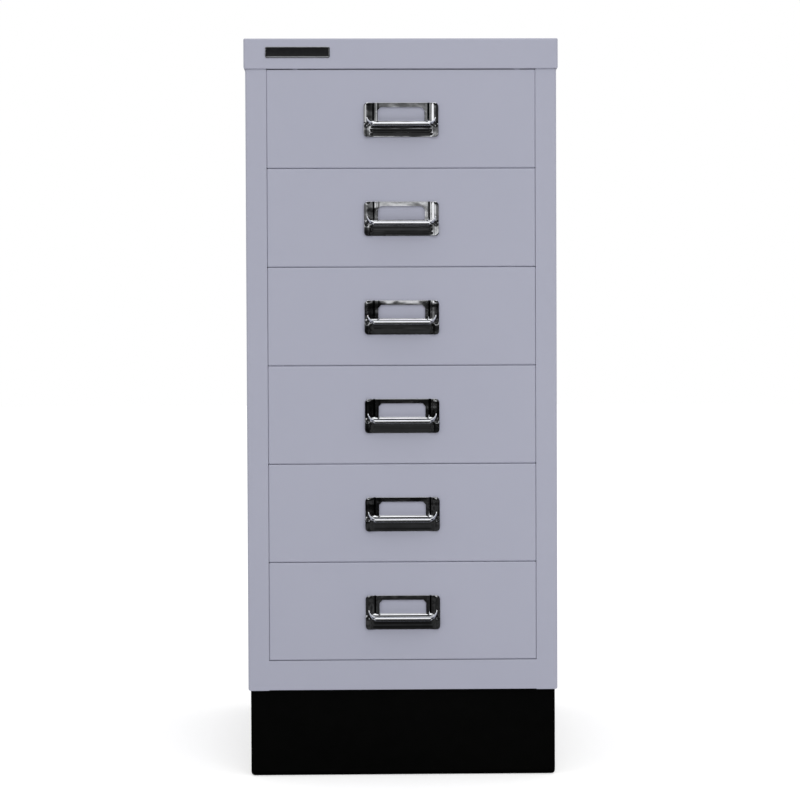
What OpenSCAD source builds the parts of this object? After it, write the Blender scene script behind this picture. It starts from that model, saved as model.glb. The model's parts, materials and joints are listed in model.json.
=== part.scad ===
// Small metal drawer cabinet: a slim sheet-steel body with six inset drawers on ball-cage runners,
// a top cap that stands a little proud, chrome label pulls and a black plinth.
// Millimetres. X to the right, Y to the back, Z up. The origin is the centre of the outline on the floor.

/* [Body] */
// Width across the side panels
body_w = 279; // [260:1:330]
// Depth from the drawer fronts to the back
body_d = 380; // [376:1:440]
// Thickness of the body's sheet steel
sheet = 1; // [0.8:0.1:1.2]
// Outside bend radius of the side panels' corners
bend_r = 2; // [1.5:0.1:4]
// Width of the front stile on each side
stile_w = 18.9; // [17:0.1:22]
// Depth of the stile's return behind the front
stile_return = 18; // [14:1:24]
// Height of the bottom front rail
bottom_rail_h = 27; // [20:0.1:40]
// How far the bottom rail's edge stops above the stiles' ends
bottom_rail_lift = 0.5; // [0:0.1:0.9]
// Depth of the two front rails' flanges
rail_flange = 17; // [10:1:20]
// Height of the base panel's turned-up edges
base_flange = 12; // [8:1:16]
// Fitting gap between folded panels
panel_fit = 0.1; // [0:0.05:0.2]
// Clear length of the base panel's edges beside the uprights
upright_fit = 10; // [5:1:20]
// Depth of the uprights that carry the runners
upright_d = 40; // [30:1:50]

/* [Top cap] */
// Height of the cap's fascia
cap_h = 27.2; // [20:0.1:40]
// Thickness of the cap's sheet
cap_sheet = 1; // [0.8:0.1:1.6]
// Gap between the body and the cap's inside
cap_fit = 0.4; // [0.2:0.1:0.8]
// Radius of the cap's upright corners
cap_corner_r = 2; // [1.7:0.1:4]
// Radius of the fascia's lower corners
cap_foot_r = 1.7; // [0.5:0.1:3]
// Radius of the fascia's lower edge
cap_lip_r = 0.8; // [0.2:0.1:1]
// Radius of the cap's top edges
cap_edge_r = 1.5; // [1.2:0.1:3]
// How far the top rail's lower edge sits above the fascia's
top_rail_lift = 1.5; // [1:0.1:3]
// Width of the left gap tab
left_tab_w = 4.3; // [3:0.1:10]
// Width of the right gap tab
right_tab_w = 5; // [3:0.1:10]
// Distance from the left stile to the left gap tab's centre
left_tab_x = 26; // [10:1:60]
// Distance from the right stile to the right gap tab's centre
right_tab_x = 16.7; // [10:0.1:60]
// Gap under each tab
tab_clear = 0.3; // [0.2:0.1:0.6]
// Width of the blank badge
badge_w = 58; // [30:1:80]
// Height of the blank badge
badge_h = 10; // [6:1:14]
// Thickness of the blank badge
badge_t = 0.8; // [0.5:0.1:1.5]
// Distance from the body's left side to the badge
badge_x = 18; // [8:1:60]
// Radius of the badge's corners
badge_r = 1.2; // [0.5:0.1:2.5]
// Distance from the cap's top to the badge's centre
badge_drop = 12.5; // [9:0.5:18]

/* [Plinth] */
// Height of the plinth
plinth_h = 78; // [50:1:120]
// How far the plinth's sides are set in from the body's
plinth_inset = 1.9; // [1:0.1:6]
// How far the plinth's front is set back from the drawer fronts
plinth_setback = 4; // [2:0.5:12]
// Thickness of the plinth's sheet
plinth_sheet = 1.2; // [1:0.1:2]
// Radius of the plinth's lower edges
plinth_foot_r = 4.5; // [3:0.1:8]
// Radius of the plinth's upright corners
plinth_corner_r = 3; // [2.5:0.1:6]
// Radius of the plinth's top edges
plinth_top_r = 1.4; // [1.3:0.1:2]
// Width of the flange that rests on the floor
foot_flange = 18; // [12:1:30]
// Width of the flange under the body
top_flange = 22; // [18:1:30]
// Diameter of the plinth screws
screw_d = 6; // [5:0.5:8]
// Clearance around the screws in the sheets
screw_fit = 0.3; // [0.1:0.1:0.5]
// Diameter of the screws' heads
screw_head_d = 10; // [9:0.5:11]
// Height of the screws' heads
screw_head_h = 3.3; // [2:0.1:5]
// Width of the plinth nuts across the flats
nut_flats = 10; // [9:0.5:11]
// Height of the plinth nuts
nut_h = 5; // [3:0.5:6]
// Length of a screw past its nut
screw_past = 1; // [0.5:0.5:3]
// Width of the screws' hexagon sockets across the corners
socket_d = 4.8; // [3:0.1:6]
// Depth of the screws' sockets
socket_depth = 2; // [1:0.1:2.5]
// Clearance of a nut on its screw
nut_fit = 0.05; // [0.02:0.01:0.1]
// Distance from the screws to the plinth's side wall or the base panel's folded edge
screw_wall = 6.5; // [6.4:0.1:8]
// Distance from the body's front or back to the screws
screw_end = 70; // [66:1:110]

/* [Drawers] */
// Number of drawers
drawer_count = 6; // [3:1:8]
// Distance from one drawer to the next
drawer_pitch = 88.5; // [70:0.1:140]
// Gap above each drawer front
drawer_gap = 0.7; // [0.6:0.1:3]
// Gap under the lowest drawer front
foot_gap = 0.5; // [0.4:0.1:3]
// Gap on each side of a drawer front
drawer_side_gap = 0.3; // [0.3:0.1:1.5]
// Thickness of the drawers' sheet
drawer_sheet = 0.9; // [0.7:0.1:1.2]
// Depth of a drawer front's folded edges
front_depth = 12; // [10:0.5:13]
// Radius of a drawer front's edges
front_edge_r = 1.4; // [1:0.1:2]
// Distance from a front's lower edge to the tray's floor
tray_rise = 4; // [2:0.5:10]
// Height of the tray's walls
tray_h = 76; // [58:1:77]
// Gap between the tray and the back panel
tray_rear_gap = 19; // [8:1:40]
// Height of the hem along the tray's rim
hem_h = 8; // [4:0.5:12]

/* [Runners] */
// Thickness of the runner channels' sheet
runner_sheet = 1; // [0.8:0.1:1.2]
// Gap between the runners and the back panel
runner_rear_gap = 20; // [8:1:40]
// Height from a front's lower edge to the runners' centre
runner_rise = 40; // [30:1:50]
// Height of the moving channels
inner_channel_h = 8; // [7:0.5:10]
// Space between a tray and the stile's return
runner_space = 9.4; // [9.4:0.1:11]
// Clearance between the moving channels and the opening
runner_clear = 1.5; // [1.4:0.1:2]
// Diameter of the balls
ball_d = 4; // [3:0.5:4]
// Running clearance above and below each ball
ball_clear = 0.1; // [0.05:0.05:0.15]
// Clearance of a ball in its cage
pocket_clear = 0.15; // [0.1:0.05:0.2]
// Balls in each row
row_balls = 3; // [2:1:4]
// Distance from one ball to the next
ball_pitch = 16; // [8:1:20]
// Length of a ball cage
cage_l = 74; // [66:1:100]
// Thickness of the cage's two rows
cage_t = 1.2; // [1:0.1:1.6]
// Thickness of the cage's back
cage_back = 0.8; // [0.6:0.1:0.8]
// Running gap of the cage in the channels
cage_gap = 0.3; // [0.2:0.05:0.3]
// Gap between the cage's rows and the moving channel's back
cage_row_gap = 0.8; // [0.6:0.1:1]
// Gap between the moving channels and the front stops
stop_gap = 0.4; // [0.3:0.1:0.6]
// Thickness of the stops at the channels' ends
stop_t = 1.5; // [1:0.1:2]
// Clearance left at a stop
stop_clear = 0.3; // [0.2:0.1:0.5]

/* [Pulls] */
// Width of a pull's plate
plate_w = 67.2; // [62:0.1:80]
// Height of a pull's plate
plate_h = 30.9; // [28:0.1:40]
// Thickness of a pull's plate
plate_t = 0.9; // [0.7:0.1:1.2]
// Radius of the plate's corners
plate_r = 3.5; // [2:0.1:5]
// How far a pull's centre sits below the drawer front's
plate_drop = 1.1; // [0:0.1:6]
// Width of the label window
window_w = 42; // [36:0.5:44]
// Height of the label window
window_h = 12.9; // [8:0.1:14]
// Height of the bar over the window
window_top = 3.8; // [3:0.1:6]
// Width of the cut across the window's upper corners
window_cut_w = 2.6; // [1:0.1:4]
// Height of the cut across the window's upper corners
window_cut_h = 2.8; // [1:0.1:4]
// Distance from the plate's side to the middle of a rib
rib_inset = 7.7; // [7:0.1:8]
// Radius of the half-round ribs
rib_r = 2.2; // [1.5:0.1:2.4]
// How far a pull stands out from the drawer front
pull_reach = 13.5; // [11:0.1:18]
// Distance from the plate's side to the finger lip's end
lip_inset = 3.8; // [3:0.1:4.5]
// Radius of the lip's corners seen from above
pull_corner_r = 5; // [3:0.1:7]
// Radius of the lip's rolled edge
pull_roll_r = 2; // [1.5:0.1:3]
// Drop of the lip's top from the plate to its rolled edge
pull_slope = 2.2; // [1:0.1:3]
// Height of the lip's apron below the window
pull_apron = 6.8; // [6:0.1:8]
// Thickness of the lip's sheet
pull_sheet = 1; // [0.8:0.1:1.2]
// Distance from the plate's side to each fixing tab
lug_inset = 2.1; // [1.2:0.1:2.4]
// Height of a fixing tab
lug_h = 6; // [4:0.5:8]
// Length of a fixing tab's bent end
lug_bend = 4; // [3:0.5:6]
// Clearance of a fixing tab in its slot
lug_fit = 0.3; // [0.1:0.1:0.5]

/* [Hidden] */
$fn = 64;

paint = "#a9aabb";
black = "#15151a";
steel = "#b9bcc0";
chrome = "#d8dadd";
plastic = "#e6e3d8";

LEFT = -1;
RIGHT = 1;

// How far a cut runs past the face it opens
over = 1;

// Places along the depth, from the front of the pulls to the back of the cap
cap_proud = cap_fit + cap_sheet;
front_y = pull_reach - (pull_reach + body_d + cap_proud) / 2;
back_y = front_y + body_d;
// Half-widths
body_x = body_w / 2;
open_x = body_x - stile_w;
front_x = open_x - drawer_side_gap;
tray_x = open_x - runner_space;
inner_channel_x = open_x - runner_clear;
fold_x = body_x - bend_r - panel_fit;
screw_x = body_x - max(plinth_inset + plinth_sheet, bend_r + panel_fit + sheet) - screw_wall;
// Heights
body_z = plinth_h;
base_z = body_z + sheet;
floor_z = base_z + sheet;
rail_z = body_z + bottom_rail_h;
fascia_z = rail_z + foot_gap + drawer_count * drawer_pitch;
cap_z = fascia_z + cap_h;
roof_z = cap_z - cap_sheet;
front_h = drawer_pitch - drawer_gap;

// Runner section: the balls roll between the moving channel's flanges and the fixed channel's
ball_z = inner_channel_h / 2 + ball_clear + ball_d / 2;
outer_channel_z = ball_z + ball_d / 2 + ball_clear;
cage_back_x = inner_channel_x + cage_gap;
ball_x = (tray_x + runner_sheet + cage_back_x) / 2;
row_x = tray_x + runner_sheet + cage_row_gap;
runner_y = front_y + stile_return + stop_clear;
runner_end_y = back_y - 2 * sheet - runner_rear_gap;
// How far a drawer pulls out: the cage, which moves half as far, is the spacer between the stops
drawer_travel = runner_end_y - runner_y - cage_l - 2 * stop_t - 2 * stop_clear;
cage_y = runner_y + stop_t + stop_clear + drawer_travel / 2;

// Places across a pull, from its middle
rib_x = plate_w / 2 - rib_inset;
pull_half_w = plate_w / 2 - lip_inset;
lug_x = plate_w / 2 - lug_inset;

function drawer_z(n) = rail_z + foot_gap + (drawer_count - n) * drawer_pitch;
function pull_z(n) = drawer_z(n) + front_h / 2 - plate_drop;

// A block between two opposite corners
module block(low, high) {
    translate(low) cube(high - low);
}

// The same piece on the right side, or mirrored to the left
module on_side(side) {
    mirror([side == LEFT ? 1 : 0, 0, 0]) children();
}

// A rectangle between two corners, with radii for its lower and its upper corners
module rounded_rect(low, high, radii) {
    difference() {
        translate(low) square(high - low);
        for (side = [0, 1], end = [0, 1])
            if (radii[end] > 0) {
                r = radii[end];
                corner = [side == 0 ? low.x : high.x, end == 0 ? low.y : high.y];
                inward = [side == 0 ? r : -r, end == 0 ? r : -r];
                difference() {
                    translate(corner + inward / 2) square(r, center = true);
                    translate(corner + inward) circle(r);
                }
            }
    }
}

// A block with rounded upright corners. The radii of its lower and upper edges are given for the
// edges along its sides and for the edges along its front and back
module rounded_block(low, high, corner_r, side_radii, front_radii) {
    intersection() {
        translate([0, 0, low.z])
            linear_extrude(high.z - low.z)
                rounded_rect([low.x, low.y], [high.x, high.y], [corner_r, corner_r]);
        translate([0, high.y, 0])
            rotate([90, 0, 0])
                linear_extrude(high.y - low.y)
                    rounded_rect([low.x, low.z], [high.x, high.z], side_radii);
        translate([low.x, 0, 0])
            rotate([90, 0, 90])
                linear_extrude(high.x - low.x)
                    rounded_rect([low.y, low.z], [high.y, high.z], front_radii);
    }
}

module plinth() {
    low = [-body_x + plinth_inset, front_y + plinth_setback, 0];
    high = [body_x - plinth_inset, back_y - plinth_inset, plinth_h];
    wall = [plinth_sheet, plinth_sheet, plinth_sheet];
    radii = [plinth_foot_r, plinth_top_r];
    inner_radii = [for (r = radii) r - plinth_sheet];
    color(black)
        difference() {
            rounded_block(low, high, plinth_corner_r, radii, radii);
            rounded_block(low + wall, high - wall, plinth_corner_r - plinth_sheet, inner_radii, inner_radii);
            block(low + [foot_flange, foot_flange, -over],
                  [high.x - foot_flange, high.y - foot_flange, plinth_h / 2]);
            block([low.x + top_flange, low.y + top_flange, plinth_h / 2],
                  high - [top_flange, top_flange, -over]);
            screw_holes();
        }
}

// Places the plinth's four fastenings
module each_screw() {
    for (side = [LEFT, RIGHT], y = [front_y + screw_end, back_y - screw_end])
        translate([side * screw_x, y, 0]) children();
}

module screw_holes() {
    each_screw()
        translate([0, 0, body_z - plinth_sheet - over])
            cylinder(r = screw_d / 2 + screw_fit, h = floor_z - body_z + plinth_sheet + 2 * over);
}

module plinth_screws() {
    head_z = body_z - plinth_sheet - screw_head_h;
    color(steel)
        each_screw()
            difference() {
                union() {
                    translate([0, 0, head_z]) cylinder(d = screw_head_d, h = screw_head_h);
                    translate([0, 0, head_z])
                        cylinder(d = screw_d, h = floor_z + nut_h + screw_past - head_z);
                }
                translate([0, 0, head_z - over]) cylinder(d = socket_d, h = socket_depth + over, $fn = 6);
            }
}

module plinth_nuts() {
    color(steel)
        each_screw()
            translate([0, 0, floor_z])
                difference() {
                    cylinder(d = nut_flats / cos(30), h = nut_h, $fn = 6);
                    translate([0, 0, -over]) cylinder(r = screw_d / 2 + nut_fit, h = nut_h + 2 * over);
                }
}

module base_panel() {
    rear_y = back_y - sheet;
    edge_z = floor_z + base_flange;
    clear_y = upright_d + upright_fit;
    color(paint)
        difference() {
            union() {
                block([-fold_x, front_y + sheet, base_z], [fold_x, rear_y, floor_z]);
                block([-open_x + panel_fit, front_y + sheet, base_z],
                      [open_x - panel_fit, front_y + 2 * sheet, edge_z]);
                block([-fold_x, rear_y - 2 * sheet, base_z], [fold_x, rear_y - sheet, edge_z]);
                for (side = [LEFT, RIGHT])
                    on_side(side)
                        block([fold_x - sheet, front_y + clear_y, base_z],
                              [fold_x, back_y - clear_y, edge_z]);
            }
            screw_holes();
        }
}

// A tray lying on its side: skin, stile, rear flange and bottom flange, with the stile's return
module side_panel(side) {
    wall = [sheet, sheet, sheet];
    low = [0, front_y, body_z];
    high = [body_x, back_y, roof_z];
    color(paint)
        on_side(side)
            difference() {
                union() {
                    difference() {
                        rounded_block(low, high, bend_r, [bend_r, 0], [0, 0]);
                        rounded_block(low + wall - [body_x, 0, 0], high - wall + [0, 0, sheet + over],
                                      bend_r - sheet, [bend_r - sheet, 0], [0, 0]);
                        block(low - [over, over, over], [open_x, back_y + over, roof_z + over]);
                    }
                    block([open_x, front_y, floor_z], [open_x + sheet, front_y + stile_return, roof_z]);
                }
                screw_holes();
            }
}

module back_panel() {
    color(paint) block([-fold_x, back_y - 2 * sheet, floor_z], [fold_x, back_y - sheet, roof_z]);
}

module bottom_rail() {
    color(paint) {
        block([-open_x, front_y, body_z + bottom_rail_lift], [open_x, front_y + sheet, rail_z]);
        block([-open_x, front_y, rail_z - sheet], [open_x, front_y + rail_flange, rail_z]);
    }
}

module top_rail() {
    low_z = fascia_z + top_rail_lift;
    color(paint) {
        block([-open_x, front_y, low_z], [open_x, front_y + sheet, roof_z]);
        for (z = [low_z, roof_z - sheet])
            block([-open_x, front_y, z], [open_x, front_y + rail_flange, z + sheet]);
        gap_tab(-open_x + left_tab_x, left_tab_w, low_z);
        gap_tab(open_x - right_tab_x, right_tab_w, low_z);
    }
}

// A small tab that hangs from the top rail into the gap over the top drawer
module gap_tab(x, w, top_z) {
    block([x - w / 2, front_y, fascia_z - drawer_gap + tab_clear],
          [x + w / 2, front_y + sheet, top_z + sheet]);
}

module top_cap() {
    low = [-body_x - cap_proud, front_y - cap_proud, fascia_z];
    high = [body_x + cap_proud, back_y + cap_proud, cap_z];
    inner_edge_r = min(cap_edge_r - cap_sheet, cap_fit);
    lip_r = min(cap_lip_r, cap_sheet - 0.1);
    color(paint)
        difference() {
            rounded_block(low, high, cap_corner_r, [cap_foot_r, cap_edge_r], [lip_r, cap_edge_r]);
            rounded_block(low + [cap_sheet, cap_sheet, -over], high - [cap_sheet, cap_sheet, cap_sheet],
                          cap_corner_r - cap_sheet, [0, inner_edge_r], [0, inner_edge_r]);
        }
}

module blank_badge() {
    low = [-body_x + badge_x, cap_z - badge_drop - badge_h / 2];
    color(steel)
        translate([0, front_y - cap_proud, 0])
            rotate([90, 0, 0])
                linear_extrude(badge_t)
                    rounded_rect(low, low + [badge_w, badge_h], [badge_r, badge_r]);
}

// An upright strip that carries the runners, with a flange to the side panel's skin
module upright(side, low_y, flange_y) {
    x = open_x + sheet;
    flange_z = body_z + max(2 * sheet, bend_r);
    color(steel)
        on_side(side) {
            block([x, low_y, floor_z], [x + sheet, low_y + upright_d, roof_z]);
            block([x, flange_y, flange_z], [body_x - sheet, flange_y + sheet, roof_z]);
        }
}

module front_upright(side) {
    y = front_y + 2 * sheet;
    upright(side, y, y + upright_d - sheet);
}

module rear_upright(side) {
    y = back_y - 3 * sheet - upright_d;
    upright(side, y, y);
}

// Sets both runners of drawer n at their height
module each_runner(n) {
    for (side = [LEFT, RIGHT])
        on_side(side) translate([0, 0, drawer_z(n) + runner_rise]) children();
}

module cabinet_channels(n) {
    back_x = open_x + sheet;
    end_y = runner_end_y + stop_clear + stop_t;
    z = outer_channel_z + runner_sheet;
    color(steel)
        each_runner(n) {
            block([back_x - runner_sheet, runner_y, -z], [back_x, end_y, z]);
            for (low_z = [-z, outer_channel_z])
                block([row_x, runner_y, low_z], [back_x, end_y, low_z + runner_sheet]);
            block([inner_channel_x + stop_gap, runner_y, -ball_z], [back_x, runner_y + stop_t, ball_z]);
            block([ball_x, runner_end_y + stop_clear, -inner_channel_h / 2],
                  [back_x, end_y, inner_channel_h / 2]);
        }
}

module drawer_channels(n) {
    z = inner_channel_h / 2;
    color(steel)
        each_runner(n) {
            block([tray_x, runner_y, -z], [tray_x + runner_sheet, runner_end_y, z]);
            for (low_z = [-z, z - runner_sheet])
                block([tray_x, runner_y, low_z], [inner_channel_x, runner_end_y, low_z + runner_sheet]);
            for (low_z = [-ball_z, z - runner_sheet])
                block([row_x, runner_end_y - stop_t, low_z],
                      [inner_channel_x, runner_end_y, low_z + ball_z - z + runner_sheet]);
        }
}

// Distances of a row's balls along the cage
ball_ys = [for (i = [0 : row_balls - 1]) cage_y + cage_l / 2 + (i - (row_balls - 1) / 2) * ball_pitch];

module ball_cages(n) {
    z = ball_z + cage_t / 2;
    color(plastic)
        each_runner(n)
            difference() {
                union() {
                    block([cage_back_x, cage_y, -z], [cage_back_x + cage_back, cage_y + cage_l, z]);
                    for (end = [-1, 1])
                        block([row_x, cage_y, end * ball_z - cage_t / 2],
                              [cage_back_x + cage_back, cage_y + cage_l, end * ball_z + cage_t / 2]);
                }
                for (y = ball_ys)
                    translate([ball_x, y, -z - over])
                        cylinder(r = ball_d / 2 + pocket_clear, h = 2 * (z + over));
            }
}

module cage_balls(n) {
    color(chrome)
        each_runner(n)
            for (y = ball_ys, end = [-1, 1])
                translate([ball_x, y, end * ball_z]) sphere(d = ball_d);
}

// A pan with folded edges, slotted for the pull's fixing tabs
module drawer_front(n) {
    z = drawer_z(n);
    low = [-front_x, front_y, z];
    high = [front_x, front_y + front_depth, z + front_h];
    wall = [drawer_sheet, drawer_sheet, drawer_sheet];
    radii = [front_edge_r, front_edge_r];
    color(paint)
        difference() {
            intersection() {
                block(low, high);
                rounded_block(low, high + [0, 2 * front_edge_r, 0], front_edge_r, radii, radii);
            }
            block(low + wall, high - [drawer_sheet, -over, drawer_sheet]);
            for (side = [LEFT, RIGHT])
                translate([0, 0, pull_z(n)])
                    on_side(side)
                        block([lug_x - lug_fit, front_y - over, -lug_h / 2 - lug_fit],
                              [lug_x + drawer_sheet + lug_fit, front_y + drawer_sheet + over,
                               lug_h / 2 + lug_fit]);
        }
}

// The tray, with a wide front wall that closes the drawer front's pan
module drawer_tray(n) {
    t = drawer_sheet;
    z = drawer_z(n);
    low = [-tray_x, front_y + front_depth - t, z + tray_rise];
    high = [tray_x, back_y - 2 * sheet - tray_rear_gap, z + tray_rise + tray_h];
    color(paint) {
        block([-front_x + t, low.y, z + t], [front_x - t, low.y + t, z + front_h - t]);
        difference() {
            block(low, high);
            block(low + [t, t, t], high + [-t, -t, over]);
        }
        difference() {
            block([low.x, low.y, high.z - hem_h], high);
            block([low.x + 2 * t, low.y - over, high.z - hem_h - over], high + [-2 * t, -2 * t, over]);
        }
    }
}

// A pressed pull: plate with a label window, two ribs, and a finger lip between two cheeks
module drawer_pull(n) {
    top = plate_h / 2;
    window_z = top - window_top - window_h;
    color(chrome)
        translate([0, front_y, pull_z(n)]) {
            pull_plate(top, window_z);
            for (side = [LEFT, RIGHT])
                on_side(side) {
                    rib(top, window_z);
                    cheek(top - plate_r, window_z - pull_slope / 2);
                    fixing_tab();
                }
            finger_lip(window_z);
        }
}

module pull_plate(top, window_z) {
    high_z = top - window_top;
    x = window_w / 2;
    rotate([90, 0, 0])
        linear_extrude(plate_t)
            difference() {
                rounded_rect([-plate_w / 2, -top], [plate_w / 2, top], [plate_r, plate_r]);
                polygon([[-x, window_z], [-x, high_z - window_cut_h], [-x + window_cut_w, high_z],
                         [x - window_cut_w, high_z], [x, high_z - window_cut_h], [x, window_z]]);
            }
}

module rib(top, window_z) {
    translate([rib_x, -plate_t, window_z])
        intersection() {
            cylinder(r = rib_r, h = top - window_z);
            block([-rib_r, -rib_r, 0], [rib_r, plate_t / 2, top - window_z]);
        }
}

// A web between the plate and the lip's end
module cheek(high_z, low_z) {
    y = pull_corner_r - pull_reach;
    translate([pull_half_w - pull_sheet, 0, 0])
        rotate([90, 0, 90])
            linear_extrude(pull_sheet)
                polygon([[-plate_t / 2, high_z], [-plate_t / 2, low_z - pull_sheet],
                         [y, low_z - pull_sheet], [y, low_z]]);
}

// A tab through the drawer front, bent outwards behind it
module fixing_tab() {
    z = lug_h / 2;
    block([lug_x, -plate_t / 2, -z], [lug_x + drawer_sheet, 2 * drawer_sheet, z]);
    block([lug_x, drawer_sheet, -z], [lug_x + drawer_sheet + lug_bend, 2 * drawer_sheet, z]);
}

module finger_lip(window_z) {
    low_z = window_z - pull_apron;
    difference() {
        lip_form(0, window_z, low_z, -plate_t / 2);
        lip_form(pull_sheet, window_z, low_z - over, -plate_t);
    }
}

// The lip's outer form, or its hollow when it is taken in by the sheet's thickness
module lip_form(in, window_z, low_z, rear_y) {
    reach = pull_reach - in;
    half_w = pull_half_w - in;
    roll_r = pull_roll_r - in;
    roll_z = window_z - pull_slope - pull_roll_r;
    intersection() {
        translate([0, 0, low_z])
            linear_extrude(window_z - low_z)
                rounded_rect([-half_w, -reach], [half_w, rear_y], [pull_corner_r - in, 0]);
        translate([-half_w, 0, 0])
            rotate([90, 0, 90])
                linear_extrude(2 * half_w) {
                    polygon([[rear_y, low_z], [-reach, low_z], [-reach, roll_z],
                             [roll_r - reach, roll_z + roll_r], [rear_y, window_z - in]]);
                    translate([roll_r - reach, roll_z]) circle(roll_r);
                }
    }
}

plinth();
plinth_screws();
plinth_nuts();
base_panel();
side_panel(LEFT);  // side_panel_left
side_panel(RIGHT);  // side_panel_right
back_panel();
bottom_rail();
top_rail();
top_cap();
blank_badge();
front_upright(LEFT);  // front_upright_left
front_upright(RIGHT);  // front_upright_right
rear_upright(LEFT);  // rear_upright_left
rear_upright(RIGHT);  // rear_upright_right
for (n = [1 : drawer_count]) {
    cabinet_channels(n);
    drawer_channels(n);
    ball_cages(n);
    cage_balls(n);
    drawer_front(n);
    drawer_tray(n);
    drawer_pull(n);
}
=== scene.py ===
"""Looks of the small metal drawer cabinet: paint, chrome, plinth, runners and a plain studio."""

import json
import math

import bmesh
import bpy
from mathutils import Matrix, Vector, noise


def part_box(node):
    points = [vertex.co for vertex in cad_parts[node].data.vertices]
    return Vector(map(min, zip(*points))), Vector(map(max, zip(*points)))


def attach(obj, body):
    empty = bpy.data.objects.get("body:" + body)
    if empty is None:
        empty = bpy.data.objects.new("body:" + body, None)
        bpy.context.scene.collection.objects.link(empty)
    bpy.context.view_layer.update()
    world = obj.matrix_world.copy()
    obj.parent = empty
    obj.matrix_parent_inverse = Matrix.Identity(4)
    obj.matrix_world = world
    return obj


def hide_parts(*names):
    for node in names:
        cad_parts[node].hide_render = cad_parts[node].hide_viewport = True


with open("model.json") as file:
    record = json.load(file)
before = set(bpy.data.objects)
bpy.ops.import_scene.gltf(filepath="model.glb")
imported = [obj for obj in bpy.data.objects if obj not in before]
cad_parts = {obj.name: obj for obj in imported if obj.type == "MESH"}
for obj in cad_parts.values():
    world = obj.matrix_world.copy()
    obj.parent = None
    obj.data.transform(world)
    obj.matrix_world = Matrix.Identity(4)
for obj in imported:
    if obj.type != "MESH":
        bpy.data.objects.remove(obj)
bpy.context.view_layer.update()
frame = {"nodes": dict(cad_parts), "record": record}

MM = 0.001
DRAWERS = range(1, 7)
FRONT_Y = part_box("bottom_rail")[0].y


# ---------------------------------------------------------------- nodes

def connect(tree, socket, value):
    """Link another socket to this one, or set its value."""
    if isinstance(value, bpy.types.NodeSocket):
        tree.links.new(value, socket)
    else:
        socket.default_value = value


def math_node(tree, operation, first, second):
    node = tree.nodes.new("ShaderNodeMath")
    node.operation = operation
    connect(tree, node.inputs[0], first)
    connect(tree, node.inputs[1], second)
    return node.outputs[0]


def mix_colors(tree, factor, first, second):
    """The first colour where the factor is 0, the second where it is 1."""
    node = tree.nodes.new("ShaderNodeMix")
    node.data_type = "RGBA"
    for key, value in (("Factor", factor), ("A", first), ("B", second)):
        connect(tree, node.inputs[key], value)
    return node.outputs["Result"]


def map_range(tree, value, start, end, low, high):
    """The value's range from start to end, spread from low to high."""
    node = tree.nodes.new("ShaderNodeMapRange")
    sources = {"Value": value, "From Min": start, "From Max": end, "To Min": low, "To Max": high}
    for key, source in sources.items():
        connect(tree, node.inputs[key], source)
    return node.outputs["Result"]


# ---------------------------------------------------------------- materials

def srgb(r, g, b):
    """A colour written in 8-bit sRGB, as linear RGBA."""
    def linear(c):
        c /= 255
        return c / 12.92 if c <= 0.04045 else ((c + 0.055) / 1.055) ** 2.4
    return (linear(r), linear(g), linear(b), 1.0)


class Nodes:
    """A material and short ways to add its nodes."""

    def __init__(self, name):
        self.mat = bpy.data.materials.new(name)
        self.mat.use_nodes = True
        self.tree = self.mat.node_tree
        self.shader = self.tree.nodes["Principled BSDF"]
        self.coord = self.tree.nodes.new("ShaderNodeTexCoord").outputs["Object"]

    def add(self, kind, **inputs):
        node = self.tree.nodes.new(kind)
        self.fill(node, inputs)
        return node

    def fill(self, node, inputs):
        for key, value in inputs.items():
            connect(self.tree, node.inputs[key.replace("_", " ")], value)

    def noise(self, scale, detail=2.0, roughness=0.5, stretch=None):
        vector = self.coord
        if stretch:
            mapping = self.add("ShaderNodeMapping", Vector=self.coord, Scale=stretch)
            vector = mapping.outputs["Vector"]
        node = self.add(
            "ShaderNodeTexNoise", Vector=vector, Scale=scale, Detail=detail, Roughness=roughness)
        return node.outputs["Fac"]

    def ramp(self, fac, low, high):
        """Two colours or values, blended by fac."""
        node = self.add("ShaderNodeValToRGB", Fac=fac)
        node.color_ramp.elements[0].color = low
        node.color_ramp.elements[1].color = high
        return node.outputs["Color"]

    def spread(self, fac, low, high, start=0.3, end=0.7):
        """fac's range from start to end, spread from low to high."""
        return map_range(self.tree, fac, start, end, low, high)

    def bump(self, height, distance, strength=1.0, normal=None):
        node = self.add("ShaderNodeBump", Height=height, Distance=distance, Strength=strength)
        if normal is not None:
            connect(self.tree, node.inputs["Normal"], normal)
        return node.outputs["Normal"]

    def finish(self, **inputs):
        self.fill(self.shader, inputs)
        return self.mat


def coat_paint(name, low, high, roughness, peel=0.00002, gloss=0.5):
    """Powder coat: fine orange peel over a slow unevenness, with a faint mottle of the colour."""
    n = Nodes(name)
    mottle = n.noise(scale=14, detail=3)
    speckle = n.noise(scale=2600, detail=1)
    peel_height = n.noise(scale=620, detail=2, roughness=0.4)
    wave = n.noise(scale=26, detail=1)
    normal = n.bump(peel_height, distance=peel)
    normal = n.bump(wave, distance=0.00035, strength=0.35, normal=normal)
    normal = n.bump(speckle, distance=0.000004, normal=normal)
    return n.finish(
        Base_Color=n.ramp(mottle, low, high),
        Roughness=n.spread(n.noise(scale=90, detail=4), roughness - 0.04, roughness + 0.05),
        Specular_IOR_Level=gloss,
        Normal=normal,
    )


# Painted shade: a dark chrome tone laid in the pull's pressed grooves and in the corner under the lip,
# where shade falls
CREASE_SHADE_TONE = srgb(62, 63, 66)


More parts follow.
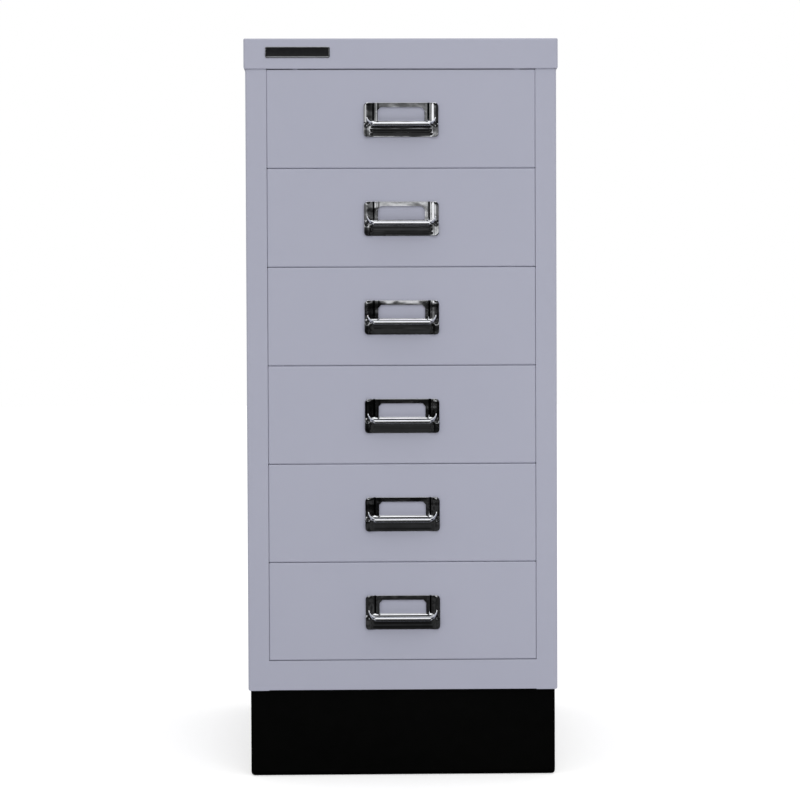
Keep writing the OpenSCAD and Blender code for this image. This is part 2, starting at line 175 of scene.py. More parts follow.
def chrome_plate(name, low, high, polish=0.05):
    """Chrome plate with faint smudges, a pressed sheet's waviness, and painted shade in its creases."""
    n = Nodes(name)
    smudge = n.noise(scale=120, detail=5, roughness=0.65)
    wave = n.noise(scale=85, detail=1)
    # Painted shade: the crease attribute blends the chrome towards the shade tone in the grooves and
    # under the lip
    crease_shade = n.add("ShaderNodeAttribute")
    crease_shade.attribute_name = "crease_shade"
    return n.finish(
        Base_Color=mix_colors(n.tree, crease_shade.outputs["Fac"], n.ramp(smudge, low, high), CREASE_SHADE_TONE),
        Metallic=1.0,
        Roughness=n.spread(smudge, polish, polish + 0.07, 0.35, 0.75),
        Normal=n.bump(wave, distance=0.00006, strength=0.6),
    )


def zinc_steel(name):
    """Zinc-plated strip: rolling lines along the depth, with a dull crystal mottle."""
    n = Nodes(name)
    lines = n.noise(scale=900, detail=2, stretch=(1, 0.02, 1))
    cell = n.add("ShaderNodeTexVoronoi", Vector=n.coord, Scale=260).outputs["Distance"]
    return n.finish(
        Base_Color=n.ramp(cell, srgb(176, 180, 184), srgb(206, 208, 210)),
        Metallic=1.0,
        Roughness=n.spread(lines, 0.28, 0.46),
        Normal=n.bump(lines, distance=0.00001),
    )


def bright_steel(name):
    """Ground bearing steel."""
    n = Nodes(name)
    haze = n.noise(scale=1500, detail=3)
    return n.finish(
        Base_Color=n.ramp(haze, srgb(196, 198, 201), srgb(216, 217, 219)),
        Metallic=1.0,
        Roughness=n.spread(haze, 0.06, 0.16),
    )


def nylon(name):
    """Moulded nylon with a fine spark finish."""
    n = Nodes(name)
    grain = n.noise(scale=3000, detail=2)
    cloud = n.noise(scale=60, detail=2)
    return n.finish(
        Base_Color=n.ramp(cloud, srgb(216, 212, 199), srgb(230, 227, 216)),
        Roughness=n.spread(grain, 0.42, 0.58),
        Subsurface_Weight=0.05,
        Normal=n.bump(grain, distance=0.00003, strength=0.6),
    )


def badge_plate(name):
    """A dark polished plate, brushed along its length."""
    n = Nodes(name)
    brushed = n.noise(scale=700, detail=3, stretch=(0.03, 1, 1))
    return n.finish(
        Base_Color=n.ramp(brushed, srgb(150, 152, 156), srgb(196, 198, 202)),
        Metallic=1.0,
        Roughness=n.spread(brushed, 0.16, 0.3),
        Normal=n.bump(brushed, distance=0.00001),
    )


def enamel(name, low, high):
    """Dark glossy enamel, slightly uneven."""
    n = Nodes(name)
    cloud = n.noise(scale=45, detail=2)
    return n.finish(
        Base_Color=n.ramp(cloud, low, high),
        Roughness=n.spread(n.noise(scale=220, detail=3), 0.14, 0.24),
        Normal=n.bump(cloud, distance=0.00006),
    )


MATERIALS = {
    "body_paint": coat_paint("body_paint", srgb(167.5, 169.5, 186), srgb(171.5, 173, 189), 0.5),
    "plinth_paint": coat_paint("plinth_paint", srgb(3, 3, 3), srgb(6, 6, 5), 0.34, gloss=0.2),
    "pull_chrome": chrome_plate("pull_chrome", srgb(206, 208, 212), srgb(232, 233, 236)),
    "badge_metal": badge_plate("badge_metal"),
    "badge_enamel": enamel("badge_enamel", srgb(20, 20, 22), srgb(30, 31, 34)),
    "zinc_steel": zinc_steel("zinc_steel"),
    "ball_steel": bright_steel("ball_steel"),
    "cage_plastic": nylon("cage_plastic"),
}

for part in frame["record"]["subparts"]:
    slots = frame["nodes"][part["node"]].data.materials
    for i in range(len(slots)):
        slots[i] = MATERIALS[part["material_slot"]]


# ---------------------------------------------------------------- meshes

def add_object(name, data):
    """A new object in the scene."""
    obj = bpy.data.objects.new(name, data)
    bpy.context.scene.collection.objects.link(obj)
    return obj


def to_mesh(name, bm):
    """A new mesh from a bmesh, which is freed."""
    mesh = bpy.data.meshes.new(name)
    bm.to_mesh(mesh)
    bm.free()
    return mesh


def mesh_object(name, bm, material, sharp=50):
    """A new object from a bmesh in metres, smooth but for its sharp edges."""
    bmesh.ops.recalc_face_normals(bm, faces=bm.faces[:])
    mesh = to_mesh(name, bm)
    mesh.materials.append(material)
    obj = add_object(name, mesh)
    for poly in mesh.polygons:
        poly.use_smooth = True
    mesh.set_sharp_from_angle(angle=math.radians(sharp))
    return obj


def smooth_step(x, low, high):
    t = min(max((x - low) / (high - low), 0), 1)
    return t * t * (3 - 2 * t)


def fade(x, low, high):
    return 1 - smooth_step(x, low, high)


def hump(t):
    """1 at 0, falling smoothly to 0 at -1 and 1."""
    return 0.5 + 0.5 * math.cos(math.pi * t) if abs(t) < 1 else 0


def blend(a, b, t):
    return a + (b - a) * t


def bridge(bm, a, b):
    """Quads between two rings of points."""
    for i in range(len(a)):
        j = (i + 1) % len(a)
        bm.faces.new((a[i], a[j], b[j], b[i]))


def loft(bm, rings):
    """Quads between rings of equal length, with both ends capped."""
    rows = [[bm.verts.new(p) for p in ring] for ring in rings]
    for a, b in zip(rows, rows[1:]):
        bridge(bm, a, b)
    bm.faces.new(rows[0][::-1])
    bm.faces.new(rows[-1])


def directions(points):
    """The unit direction of a line of 2-D points, at each of them."""
    ends = [points[0], *points, points[-1]]
    return [Vector((c[0] - a[0], c[1] - a[1])).normalized() for a, c in zip(ends, ends[2:])]


# Pull sizes in mm. DOWN values are measured from the plate's top edge, and heights from the drawer
# front. A pair is where something starts and where it is complete
PLATE_W, PLATE_H, PLATE_R = 67.2, 30.9, 3.5
HALF_W, HALF_H = PLATE_W / 2, PLATE_H / 2
FACE, EDGE_R = 1.5, 0.3
EDGE_LINES = (0, 0.03, 0.09, 0.17, 0.3, 0.5)
GRID_STEP = 0.55
# The label window, whose upper corners are cut off
WINDOW_X, WINDOW_TOP, WINDOW_FOOT = 21.0, 4.1, 16.6
WINDOW_CUT_W, WINDOW_CUT_H = 2.6, 2.8
# On each side of it a raised border and a V groove
GROOVE_X, GROOVE_W, GROOVE_DEPTH = 25.0, 0.95, 1.2
BORDER_X, BORDER_SHIFT, BORDER_W, BORDER_RISE = 22.3, 0.9, 1.7, 0.5
# The bead down each side stands further out and is wider inwards below the lip
BEAD_X, BEAD_LOW_X, BEAD_RISE = 30.8, 33.2, 1.45
BEAD_IN, BEAD_LOW_IN, BEAD_OUT = 4.8, 6, 3.3
BEAD_DOWN = (-6, 3)
# Where the upper face turns into the one below the lip, downwards and from the side
BELOW_DOWN, BELOW_SIDE = (17, 21), (24, 29.5)
# A ridge beside the foot of the lip rises and ends sideways
SHOULDER_RISE, SHOULDER_START, SHOULDER_END = 1.2, (24, 27), (27.5, 31)
DIMPLE_X, DIMPLE_DOWN, DIMPLE_R, DIMPLE_DEPTH = 31.2, 19.9, 1.2, 0.7
# Unevenness as (height, scale across, scale down, and how far apart two pulls are in the noise)
WAVES = ((0.1, 0.09, 0.16, 7.1, 3.3), (0.015, 0.35, 0.4, 1.7, 5.9))
# The face below the lip as (down, height): it leans to the floor, with a crease and a flatter band
LOW_FACE = ((19.0, 3.7), (23.3, 3.0), (23.6, 3.02), (23.95, 2.8), (26.2, 2.15), (27.4, 2.02),
            (29.1, 1.3), (29.6, 1.12), (30.9, 1.05))
# How far each pull's sides lean down as (left, right), in degrees: pressings are never quite alike
LEANS = {1: (-0.3, 0), 2: (2.2, -0.3), 3: (1.4, 0.9), 4: (0.4, -0.3), 5: (-0.3, 0.5), 6: (0.5, 0.2)}
LEAN_SIDE = (12, 22)

LIP_DOWN, REACH, ROLL_R = 18.6, 13.35, 1.9
RIM_X, RIM_CORNER_R, CORNER_ROLL_R = 30.2, 6.4, 0.55
RIM_CORNER_STEPS, RIM_FLAT_STEPS = 26, 44
# The lip's section as (down from LIP_DOWN, height): a sloping root, the flat top, and the apron below
# the roll. The roll ends at one angle in the bead and at another along the lip
LIP_ROOT = ((-2.2, 0.9), (-1.75, 1.28), (-1.3, 1.66), (-0.9, 2.0), (-0.55, 2.1), (-0.15, 2.2))
WALL_STEPS = (0.04, 0.12, 0.35, 0.7)
ROLL_END, ROLL_POINTS = (60, 90), 9
LIP_APRON = ((2.15, 0.0), (2.4, -0.02), (2.65, -0.06), (2.9, -0.13), (3.1, -0.22), (3.25, -0.34))
# In the bead the lip is sunk below the face, and the apron is an upright skirt
ROOT_SUNK, SKIRT_OUT, SKIRT_FOOT = 0.3, 0.12, 1.1
APRON_TURN = (0.5, 1)
# Sheet thickness in the bead and along the lip, and the waviness along it
LIP_SHEET = (0.4, 0.8)
LIP_WAVE, LIP_WAVE_SCALE, LIP_WAVE_SEED = 0.1, 0.12, 4.7
# The fixing tabs as (across, behind the drawer front's face), bent outwards at the end
TAB_LINE = ((31.9, -0.5), (31.9, 0.6), (32.3, 1.2), (33.2, 1.35), (36.2, 1.35))
TAB_W, TAB_SHEET = 6, 0.45

# The painted shade, a darker chrome where shade falls: how far it spreads from a groove's middle, in
# groove widths, and where it ends down and in height. Then in the corner under the lip: how far it runs
# down past the lip, out along it, up it and sideways
CREASE_SPREAD, CREASE_FOOT, CREASE_MAX_H = (0.35, 1.1), (15, 17.5), 2.2
CORNER_PAST, CORNER_LEAD = (0.1, 0.4), 0.35
CORNER_LOW_H, CORNER_LOW_GAP, CORNER_HIGH_H, CORNER_SIDE = 1.5, 0.15, (4, 9), (23, 27)


def spaced(stops, step):
    """Sorted stops with even steps filled in between them."""
    stops = sorted(set(round(s, 4) for s in stops))
    values = [stops[0]]
    for a, b in zip(stops, stops[1:]):
        parts = max(math.ceil((b - a) / step), 1)
        values += [a + (b - a) * (i + 1) / parts for i in range(parts)]
    return values


def outline_distance(x, z):
    """How far a point of the plate is inside its rounded outline."""
    dx = abs(x) - (HALF_W - PLATE_R)
    dz = abs(z) - (HALF_H - PLATE_R)
    return PLATE_R - math.hypot(max(dx, 0), max(dz, 0)) - min(max(dx, dz), 0)


def in_window(x, z):
    """Whether a point lies in the label window, whose upper corners are cut off."""
    top, foot = HALF_H - WINDOW_TOP, HALF_H - WINDOW_FOOT
    corner = WINDOW_CUT_H * (abs(x) - WINDOW_X) + WINDOW_CUT_W * (z - top + WINDOW_CUT_H)
    return abs(x) < WINDOW_X and foot < z < top and corner < 0


def edge_fall(inside):
    """How much a rounded edge falls below the face."""
    if inside >= EDGE_R:
        return 0
    return EDGE_R - math.sqrt(max(EDGE_R ** 2 - (EDGE_R - max(inside, 0)) ** 2, 0))


def low_face(down):
    """Height of the face below the lip."""
    for (a, ha), (b, hb) in zip(LOW_FACE, LOW_FACE[1:]):
        if down <= b:
            return blend(ha, hb, max(down - a, 0) / (b - a))
    return LOW_FACE[-1][1]


def plate_height(x, z, seed):
    """Height of the pressed plate's face over the drawer front."""
    down = HALF_H - z
    ax = abs(x)
    below = smooth_step(down, *BELOW_DOWN)
    h = FACE
    h -= GROOVE_DEPTH * max(1 - abs(ax - GROOVE_X) / GROOVE_W, 0) * (1 - below)
    border = (x - math.copysign(BORDER_X, x) - BORDER_SHIFT) / BORDER_W
    h += BORDER_RISE * hump(border) * (1 - below)
    bead_x = blend(BEAD_X, BEAD_LOW_X, below)
    bead_w = BEAD_OUT if ax > bead_x else blend(BEAD_IN, BEAD_LOW_IN, below)
    h += BEAD_RISE * hump((ax - bead_x) / bead_w) * smooth_step(down, *BEAD_DOWN)
    h += SHOULDER_RISE * below * smooth_step(ax, *SHOULDER_START) * fade(ax, *SHOULDER_END)
    h = blend(h, low_face(down), below * fade(ax, *BELOW_SIDE))
    h += math.tan(math.radians(LEANS[seed][x > 0])) * z * smooth_step(ax, *LEAN_SIDE)
    off = math.hypot(ax - DIMPLE_X, down - DIMPLE_DOWN) / DIMPLE_R
    h -= DIMPLE_DEPTH * math.exp(-off * off)
    for rise, across, along, step, layer in WAVES:
        h += rise * noise.noise(Vector((x * across + seed * step, down * along, seed * layer)))
    return h - edge_fall(outline_distance(x, z))


def pull_plate(seed):
    """The pressed plate as a closed solid: its face a fine grid, its back flat on the front."""
    bm = bmesh.new()
    top, foot = HALF_H - WINDOW_TOP, HALF_H - WINDOW_FOOT
    xs, zs = [0], []
    for step in EDGE_LINES:
        for side in (-1, 1):
            xs += [side * (HALF_W - step), side * WINDOW_X]
            zs.append(side * (HALF_H - step))
    for k in range(-2, 3):
        xs += [side * (GROOVE_X + k * GROOVE_W / 2) for side in (-1, 1)]
    zs += [top, foot] + [HALF_H - down for down, h in LOW_FACE[1:-1]]
    xs, zs = spaced(xs, GRID_STEP), spaced(zs, GRID_STEP)
    grid = [[bm.verts.new((x, 0, z)) for z in zs] for x in xs]
    for a, b in zip(grid, grid[1:]):
        for i in range(len(zs) - 1):
            bm.faces.new((a[i], b[i], b[i + 1], a[i + 1]))
    for side in (-1, 1):
        bmesh.ops.bisect_plane(
            bm, geom=bm.verts[:] + bm.edges[:] + bm.faces[:], dist=0.001,
            plane_co=(side * WINDOW_X, 0, top - WINDOW_CUT_H),
            plane_no=(side * WINDOW_CUT_H, 0, WINDOW_CUT_W))
    centres = [(f, f.calc_center_median()) for f in bm.faces]
    bmesh.ops.delete(bm, geom=[f for f, c in centres if in_window(c.x, c.z)], context="FACES")
    corner_x, corner_z = HALF_W - PLATE_R, HALF_H - PLATE_R
    for v in bm.verts:
        centre = Vector((math.copysign(corner_x, v.co.x), 0, math.copysign(corner_z, v.co.z)))
        out = v.co - centre
        if out.x * centre.x > 0 and out.z * centre.z > 0 and out.length > PLATE_R:
            v.co = centre + out.normalized() * PLATE_R
    bmesh.ops.remove_doubles(bm, verts=bm.verts[:], dist=0.02)
    rim = [e for e in bm.edges if e.is_boundary]
    rim_verts = dict.fromkeys(v for e in rim for v in e.verts)
    back = {v: bm.verts.new((v.co.x, 0, v.co.z)) for v in rim_verts}
    for v in bm.verts[:]:
        if v in back or v.link_faces:
            v.co.y = -plate_height(v.co.x, v.co.z, seed)
    back_rim = []
    for e in rim:
        a, b = e.verts
        wall = bm.faces.new((a, b, back[b], back[a]))
        back_rim.append(next(w for w in wall.edges if a not in w.verts and b not in w.verts))
    filled = bmesh.ops.triangle_fill(bm, use_beauty=True, edges=back_rim)["geom"]
    back_faces = [f for f in filled if isinstance(f, bmesh.types.BMFace)]
    centres = [(f, f.calc_center_median()) for f in back_faces]
    bmesh.ops.delete(bm, geom=[f for f, c in centres if in_window(c.x, c.z)], context="FACES_ONLY")
    return bm


def lip_path():
    """Points along the rim, from the left bead round the corner, along the lip and up to the right
    bead: (x, down, direction away from the middle, how far round towards the lip from 0 to 1)."""
    arc_down = LIP_DOWN - RIM_CORNER_R
    arc = []
    for i in range(RIM_CORNER_STEPS):
        turn = i / RIM_CORNER_STEPS
        a = math.pi / 2 * turn
        x = -RIM_X + RIM_CORNER_R * (1 - math.cos(a))
        arc.append((x, arc_down + RIM_CORNER_R * math.sin(a), (-math.cos(a), math.sin(a)), turn))
    flat_x = RIM_X - RIM_CORNER_R
    lip = [(blend(-flat_x, flat_x, i / RIM_FLAT_STEPS), LIP_DOWN, (0, 1), 1.0)
           for i in range(RIM_FLAT_STEPS + 1)]
    right = [(-x, down, (-n[0], n[1]), turn) for x, down, n, turn in reversed(arc)]
    return arc + lip + right


def arc_points(centre, radius, start, end, count):
    """Points on an arc, angles in degrees."""
    angles = [math.radians(blend(start, end, i / (count - 1))) for i in range(count)]
    return [(centre[0] + radius * math.cos(a), centre[1] + radius * math.sin(a)) for a in angles]


def lip_section(turn):
    """The lip's section from its root to the apron's free edge. At turn 0 it is sunk in the bead."""
    ease = smooth_step(turn, 0, 1)
    free = smooth_step(turn, *APRON_TURN)
    sunk = FACE - ROOT_SUNK
    roll_r = blend(CORNER_ROLL_R, ROLL_R, ease)
    wall_top = blend(FACE + BEAD_RISE - ROOT_SUNK, REACH, ease) - roll_r
    root_top = blend(sunk, LIP_ROOT[-1][1], ease)
    points = [(d * ease, blend(sunk, h, ease)) for d, h in LIP_ROOT]
    points += [(0, blend(root_top, wall_top, t)) for t in WALL_STEPS]
    points += arc_points((roll_r, wall_top), roll_r, 180, blend(*ROLL_END, ease), ROLL_POINTS)
    last_d, last_h = points[-1]
    for i, (d, h) in enumerate(LIP_APRON):
        t = (i + 1) / len(LIP_APRON)
        skirt_h = blend(last_h, SKIRT_FOOT, 1 - math.cos(t * math.pi / 2))
        points.append((blend(last_d + SKIRT_OUT * t, d, free), blend(skirt_h, REACH + h, free)))
    return points


def thick_loop(points, thickness):
    """A closed loop round a section line, thickened towards its hollow side, its free edge rounded."""
    inner = [(p[0] + along.y * thickness, p[1] - along.x * thickness)
             for p, along in zip(points, directions(points))]
    end = Vector(points[-1]) - Vector(points[-2])
    middle = (Vector(points[-1]) + Vector(inner[-1])) / 2 + end.normalized() * thickness / 2
    return list(points) + [tuple(middle)] + inner[::-1]


def pull_lip(seed):
    """The finger lip, swept round from bead to bead."""
    bm = bmesh.new()
    rings = []
    for x, down, (nx, nd), turn in lip_path():
        waviness = noise.noise(Vector((x * LIP_WAVE_SCALE, seed * LIP_WAVE_SEED, 0)))
        wave = LIP_WAVE * turn * waviness
        loop = thick_loop(lip_section(turn), blend(*LIP_SHEET, turn))
        rings.append([(x + nx * d, -h - wave * h / REACH, HALF_H - (down + nd * d)) for d, h in loop])
    loft(bm, rings)
    return bm


def strip(bm, points, width, thickness):
    """A flat strip of sheet bent through points in the XY plane, centred on z = 0."""
    half = width / 2
    rings = []
    for p, along in zip(points, directions(points)):
        a, b = Vector(p), Vector(p) + Vector((-along.y, along.x)) * thickness
        rings.append([(q.x, q.y, z) for q, z in ((a, -half), (b, -half), (b, half), (a, half))])
    loft(bm, rings)


def crease_shade_level(x, down, height):
    """How much painted shade a point gets, from 0 to 1: deep in a pressed groove or in the corner under
    the lip.
    """
    near, far = [share * GROOVE_W for share in CREASE_SPREAD]
    groove = fade(abs(abs(x) - GROOVE_X), near, far) * fade(down, *CREASE_FOOT)
    root_d, root_h = LIP_ROOT[-2]
    past = down - LIP_DOWN
    corner = smooth_step(past, root_d - CORNER_LEAD, root_d) * fade(past, *CORNER_PAST)
    corner *= smooth_step(height, CORNER_LOW_H, root_h - CORNER_LOW_GAP)
    corner *= fade(height, *CORNER_HIGH_H) * fade(abs(x), *CORNER_SIDE)
    return max(groove if height < CREASE_MAX_H else 0, corner)


def build_pull(n):
    """One pressed pull: plate, lip and the two fixing tabs behind the drawer front."""
    whole = bmesh.new()
    scratch = bpy.data.meshes.new("scratch")
    tabs = bmesh.new()
    for side in (-1, 1):
        strip(tabs, [(side * across, behind) for across, behind in TAB_LINE], TAB_W, TAB_SHEET)
    for bm in (pull_plate(n), pull_lip(n), tabs):
        bm.to_mesh(scratch)
        bm.free()
        whole.from_mesh(scratch)
    bpy.data.meshes.remove(scratch)
    low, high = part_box(f"drawer_pull_{n}")
    middle = Vector((0, FRONT_Y, (low.z + high.z) / 2))
    # Painted shade for each point, kept as an attribute that darkens the chrome
    crease_shades = [crease_shade_level(v.co.x, HALF_H - v.co.z, -v.co.y) for v in whole.verts]
    place = Matrix.Translation(middle) @ Matrix.Scale(MM, 4)
    bmesh.ops.transform(whole, matrix=place, verts=whole.verts[:])
    pull = mesh_object(f"label_pull_{n}", whole, MATERIALS["pull_chrome"])
    pull.data.attributes.new("crease_shade", "FLOAT", "POINT").data.foreach_set("value", crease_shades)
    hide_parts(f"drawer_pull_{n}")
    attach(pull, f"drawer_{n}")


def rounded_ring(half_w, half_h, radius, y, corner_steps=8):
    """A rounded rectangle facing -Y, as points."""
    points = []
    for i, (sx, sz) in enumerate(((1, 1), (-1, 1), (-1, -1), (1, -1))):
        for j in range(corner_steps + 1):
            a = math.pi / 2 * (i + j / corner_steps)
            points.append((sx * (half_w - radius) + radius * math.cos(a), y,
                           sz * (half_h - radius) + radius * math.sin(a)))
    return points


# The badge's corner radii in mm, and its outlines from the outside inwards as (inset in mm, share of
# its rise): the frame from its foot over the top to its inner wall, and the field within it
BADGE_R, BADGE_INNER_R = 1.6, 0.4
BADGE_FRAME = ((0, 0), (0, 0.62), (0.06, 0.8), (0.2, 0.94), (0.4, 1), (0.72, 1), (0.9, 0.93),
               (1.02, 0.8), (1.08, 0.4), (1.08, 0))
BADGE_FIELD = ((1.07, 0.05), (1.07, 0.56), (1.3, 0.62), (1.8, 0.66), (2.6, 0.69), (4.2, 0.71))


def build_badge():
    """A blank badge: a bright raised frame round a dark enamel field."""
    low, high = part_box("blank_badge")
    spans = ((high.x - low.x) / 2, (high.z - low.z) / 2, high.y - low.y)
    half_w, half_h, rise = [span / MM for span in spans]
    centre = Vector(((low.x + high.x) / 2, high.y, (low.z + high.z) / 2))
    place = Matrix.Translation(centre) @ Matrix.Scale(MM, 4)

    def rings(line):
        return [rounded_ring(half_w - inset, half_h - inset, max(BADGE_R - inset, BADGE_INNER_R),
                             -share * rise) for inset, share in line]

    frame_bm = bmesh.new()
    rows = [[frame_bm.verts.new(p) for p in ring] for ring in rings(BADGE_FRAME)]
    for a, b in zip(rows, rows[1:] + rows[:1]):
        bridge(frame_bm, a, b)
    field_bm = bmesh.new()
    loft(field_bm, rings(BADGE_FIELD))
    pieces = (("badge_frame", frame_bm, "badge_metal"), ("badge_field", field_bm, "badge_enamel"))
    for name, bm, material in pieces:
        bmesh.ops.transform(bm, matrix=place, verts=bm.verts[:])
        piece = mesh_object(name, bm, MATERIALS[material], sharp=35)
        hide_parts("blank_badge")
        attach(piece, "cabinet")


# How far the fronts' folds are let out at their level seams, under the cap and sideways, and how
# deep the moved edge is, in metres. The top rail's gap tabs hang 0.3 mm over the top front, so
# SEAM_CAP stays under that
SEAM_LEVEL, SEAM_CAP, SEAM_SIDE, FOLD_ZONE = 0.2 * MM, 0.25 * MM, 0.23 * MM, 2.5 * MM
# The top front's upper fold is a little tighter, over this depth and by this factor
TIGHT_ZONE, TIGHT_FOLD = 1.5 * MM, 0.6


def build_front(n):
    """The drawer front with its folds let out a hair, so the seams look as fine as the real ones."""
    low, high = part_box(f"drawer_front_{n}")
    bm = bmesh.new()
    bm.from_mesh(frame["nodes"][f"drawer_front_{n}"].data)
    spreads = ((0, -SEAM_SIDE, SEAM_SIDE), (2, -SEAM_LEVEL, SEAM_CAP if n == 1 else SEAM_LEVEL))
    for v in bm.verts:
        if n == 1 and v.co.z > high.z - TIGHT_ZONE and v.co.y < low.y + TIGHT_ZONE:
            v.co.z = high.z - (high.z - v.co.z) * TIGHT_FOLD
            v.co.y = low.y + (v.co.y - low.y) * TIGHT_FOLD
        for axis, below, above in spreads:
            if v.co[axis] < low[axis] + FOLD_ZONE:
                v.co[axis] += below
            elif v.co[axis] > high[axis] - FOLD_ZONE:
                v.co[axis] += above
    mesh = to_mesh("front", bm)
    mesh.materials.clear()
    mesh.materials.append(MATERIALS["body_paint"])
    front = add_object(f"painted_front_{n}", mesh)
    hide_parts(f"drawer_front_{n}")
    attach(front, f"drawer_{n}")


for n in DRAWERS:
    build_pull(n)
    build_front(n)
build_badge()


# ---------------------------------------------------------------- studio

# The room as chrome sees it: (height, or place across or in front, in metres, level)
ROOM_BANDS = ((0.0, 0.004), (0.25, 0.012), (0.42, 0.03), (0.52, 0.13), (0.61, 0.85), (0.74, 1.0),
              (0.85, 0.4), (0.97, 0.17), (1.2, 0.06), (1.6, 0.02))
ROOM_SIDES = ((-3.4, 0.1), (-2.3, 0.15), (-1.6, 0.8), (-0.8, 1.0), (0.2, 0.9), (0.9, 0.35), (3.4, 0.15))
FLOOR_BANDS = ((-3.4, 0.006), (-2.6, 0.02), (-1.9, 0.06), (-1.6, 0.02), (-1.3, 0.012), (-1.0, 0.05),
               (-0.75, 0.012), (-0.55, 0.045), (-0.35, 0.012), (-0.1, 0.008))
CARD_ACROSS = ((-0.95, 0.0), (-0.7, 0.35), (-0.4, 1.0), (-0.1, 1.0), (0.25, 0.4), (0.95, 0.1))
CARD_UP = ((-0.5, 0.0), (-0.4, 0.19), (-0.3, 0.3), (-0.2, 1.0), (0.35, 1.0), (0.5, 0.2))
# The curved screen: its radius and pieces, how far round it goes in degrees, and its foot and top.
# Its roof rises to a point over the cabinet's front
TENT_R, TENT_STEPS, TENT_SWEEP, TENT_FOOT, TENT_TOP = 3.4, 48, (-100, 100), -0.2, 3.2
ROOF_Y, ROOF_RISE = -0.9, 0.6
FLOOR_R, FLOOR_SIDES, FLOOR_ROUGH = 14, 96, 0.9
# The photograph's camera, fitted to its measured edges: metres, degrees and pixels
CAMERA_AT = (-0.03206, -1.97405, 0.37729)
CAMERA_TURNS = (0.9656, 1.2052, -0.2249)
FOCAL_PX, FRAME_PX, SENSOR_MM = 1990.96, 800, 36.0
CLIP = (0.05, 60)


def emitter(name):
    """A plain black card material that gives off light, and its shader."""
    mat = bpy.data.materials.new(name)
    mat.use_nodes = True
    shader = mat.node_tree.nodes["Principled BSDF"]
    shader.inputs["Base Color"].default_value = (0, 0, 0, 1)
    shader.inputs["Specular IOR Level"].default_value = 0
    shader.inputs["Emission Color"].default_value = (1, 1, 1, 1)
    return mat, shader


def card_light(name, strength):
    mat, shader = emitter(name)
    shader.inputs["Emission Strength"].default_value = strength
    return mat


def object_axes(tree):
    """The X, Y and Z outputs of a place on the object."""
    axes = tree.nodes.new("ShaderNodeSeparateXYZ")
    coord = tree.nodes.new("ShaderNodeTexCoord")
    connect(tree, axes.inputs["Vector"], coord.outputs["Object"])
    return axes.outputs


def level_ramp(tree, value, stops):
    """A grey level that follows a value through (value, level) stops."""
    low, high = stops[0][0], stops[-1][0]
    ramp = tree.nodes.new("ShaderNodeValToRGB")
    connect(tree, ramp.inputs["Fac"], map_range(tree, value, low, high, 0, 1))
    elements = ramp.color_ramp.elements
    while len(elements) < len(stops):
        elements.new(0.5)
    for element, (at, level) in zip(elements, stops):
        element.position = (at - low) / (high - low)
        element.color = (level, level, level, 1)
    return ramp.outputs["Color"]


def graded_light(name, first, second, strength=1.0):
    """A light whose level is the product of two ramps, each along an axis of the card."""
    mat, shader = emitter(name)
    tree = mat.node_tree
    axes = object_axes(tree)
    levels = [level_ramp(tree, axes[axis], stops) for axis, stops in (first, second)]
    level = math_node(tree, "MULTIPLY", math_node(tree, "MULTIPLY", *levels), strength)
    connect(tree, shader.inputs["Emission Strength"], level)
    return mat


def gloss_only(obj):
    """Seen by reflections and by nothing else."""
    obj.visible_camera = False
    obj.visible_diffuse = False
    obj.visible_shadow = False
    obj.visible_transmission = False
    obj.visible_volume_scatter = False


def stage_object(name, mesh, material):
    mesh.materials.append(material)
    return add_object(name, mesh)


def face_toward(obj, centre, toward, axis):
    obj.location = centre
    obj.rotation_mode = "QUATERNION"
    obj.rotation_quaternion = (Vector(toward) - Vector(centre)).to_track_quat(axis, "Y")


def card(name, centre, toward, width, height, material):
    """A flat card at centre that faces a point."""
    mesh = bpy.data.meshes.new(name)
    w, h = width / 2, height / 2
    mesh.from_pydata([(-w, -h, 0), (w, -h, 0), (w, h, 0), (-w, h, 0)], [], [(0, 1, 2, 3)])
    obj = stage_object(name, mesh, material)
    face_toward(obj, centre, toward, "Z")
    gloss_only(obj)


def tent(name, material):
    """A curved screen round the camera's side, with a roof."""
    bm = bmesh.new()
    rows = []
    for i in range(TENT_STEPS + 1):
        a = math.radians(blend(*TENT_SWEEP, i / TENT_STEPS))
        x, y = TENT_R * math.sin(a), -TENT_R * math.cos(a)
        column = ((x, y, TENT_FOOT), (x, y, TENT_TOP), (0, ROOF_Y, TENT_TOP + ROOF_RISE))
        rows.append([bm.verts.new(p) for p in column])
    for a, b in zip(rows, rows[1:]):
        bm.faces.new((a[0], b[0], b[1], a[1]))
        bm.faces.new((a[1], b[1], b[2], a[2]))
    gloss_only(stage_object(name, to_mesh(name, bm), material))


def light_path(tree, keys):
    """1 for any of these kinds of ray, else 0."""
    path = tree.nodes.new("ShaderNodeLightPath")
    seen = path.outputs[keys[0]]
    for key in keys[1:]:
        seen = math_node(tree, "MAXIMUM", seen, path.outputs[key])
    return seen


def build_floor(albedo, glow):
    """A pale floor that keeps the shadow. It glows to the camera alone, and reflections see it dark."""
    bm = bmesh.new()
    bmesh.ops.create_circle(bm, cap_ends=True, segments=FLOOR_SIDES, radius=FLOOR_R)
    mesh = to_mesh("floor", bm)
    mat, shader = emitter("floor")
    tree = mat.node_tree
    shader.inputs["Roughness"].default_value = FLOOR_ROUGH
    bands = level_ramp(tree, object_axes(tree)["Y"], FLOOR_BANDS)
    reflected = light_path(tree, ["Is Glossy Ray"])
    tone = mix_colors(tree, reflected, (albedo, albedo, albedo, 1), bands)
    connect(tree, shader.inputs["Base Color"], tone)
    level = math_node(tree, "MULTIPLY", light_path(tree, ["Is Camera Ray"]), glow)
    connect(tree, shader.inputs["Emission Strength"], level)
    stage_object("floor", mesh, mat)


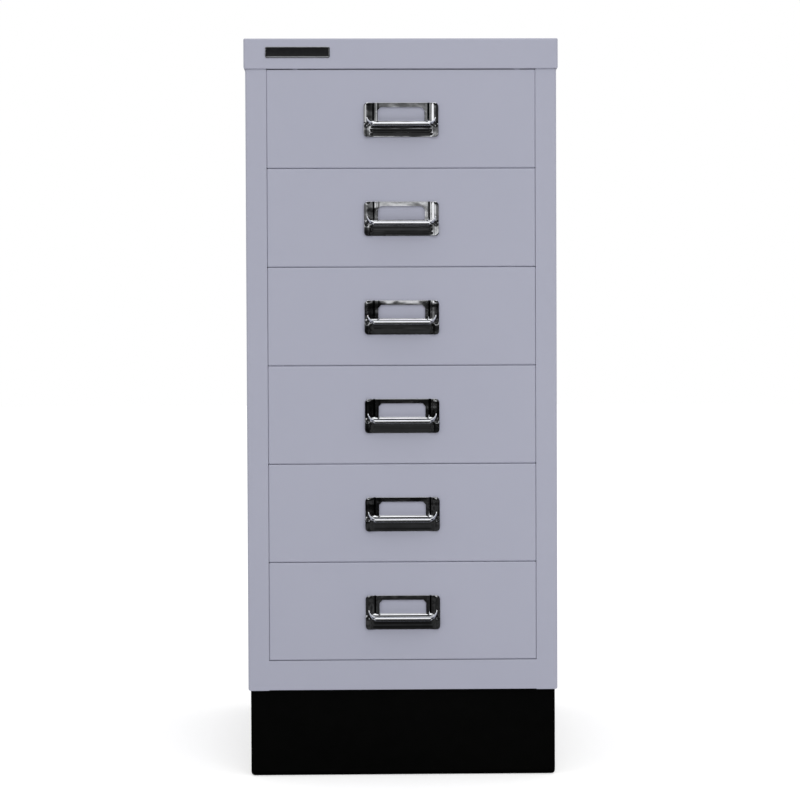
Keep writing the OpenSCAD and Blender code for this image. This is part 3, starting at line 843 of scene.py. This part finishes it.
def build_world(level):
    """Even light from all round, seen as white."""
    world = bpy.data.worlds.new("studio")
    bpy.context.scene.world = world
    world.use_nodes = True
    tree = world.node_tree
    background = tree.nodes["Background"]
    background.inputs["Color"].default_value = (1, 1, 1, 1)
    seen = light_path(tree, ["Is Camera Ray", "Is Glossy Ray", "Is Transmission Ray"])
    connect(tree, background.inputs["Strength"], map_range(tree, seen, 0, 1, level, 1.0))


def area_light(name, centre, toward, width, height, watts):
    """A soft box that reflections don't see."""
    data = bpy.data.lights.new(name, "AREA")
    data.shape = "RECTANGLE"
    data.size, data.size_y, data.energy = width, height, watts
    obj = add_object(name, data)
    face_toward(obj, centre, toward, "-Z")
    obj.visible_glossy = False
    obj.visible_camera = False


def build_camera():
    yaw, pitch, roll = [math.radians(turn) for turn in CAMERA_TURNS]
    level = Vector((math.sin(yaw), math.cos(yaw), 0)) * math.cos(pitch)
    forward = level + Vector((0, 0, -math.sin(pitch)))
    right = Vector((math.cos(yaw), -math.sin(yaw), 0))
    up = right.cross(forward)
    right, up = (right * math.cos(roll) + up * math.sin(roll),
                 up * math.cos(roll) - right * math.sin(roll))
    data = bpy.data.cameras.new("camera")
    data.sensor_width = SENSOR_MM
    data.lens = SENSOR_MM * FOCAL_PX / FRAME_PX
    data.clip_start, data.clip_end = CLIP
    cam = add_object("camera", data)
    turn = Matrix((right, up, -forward)).transposed()
    cam.matrix_world = Matrix.Translation(CAMERA_AT) @ turn.to_4x4()
    bpy.context.scene.camera = cam


build_floor(albedo=0.8, glow=0.46)
build_world(0.8)
build_camera()
tent("room_screen", graded_light("room_light", ("Z", ROOM_BANDS), ("X", ROOM_SIDES)))
card("left_card", (-1.45, -1.35, 0.85), (0, -1.35, 0.85), 1.9, 1.0,
     graded_light("left_card", ("X", CARD_ACROSS), ("Y", CARD_UP), 1.3))
card("top_card", (0, -0.95, 2.0), (0, -0.5, 0), 2.4, 2.2, card_light("top_card", 1.6))
area_light("key", (0.5, -2.8, 2.6), (0, 0, 0.4), 2.4, 1.8, 22.5)
area_light("fill", (0.3, -1.1, 0.04), (0, -0.19, 0.12), 0.9, 0.3, 1.5)

scene = bpy.context.scene
scene.view_settings.view_transform = "Standard"
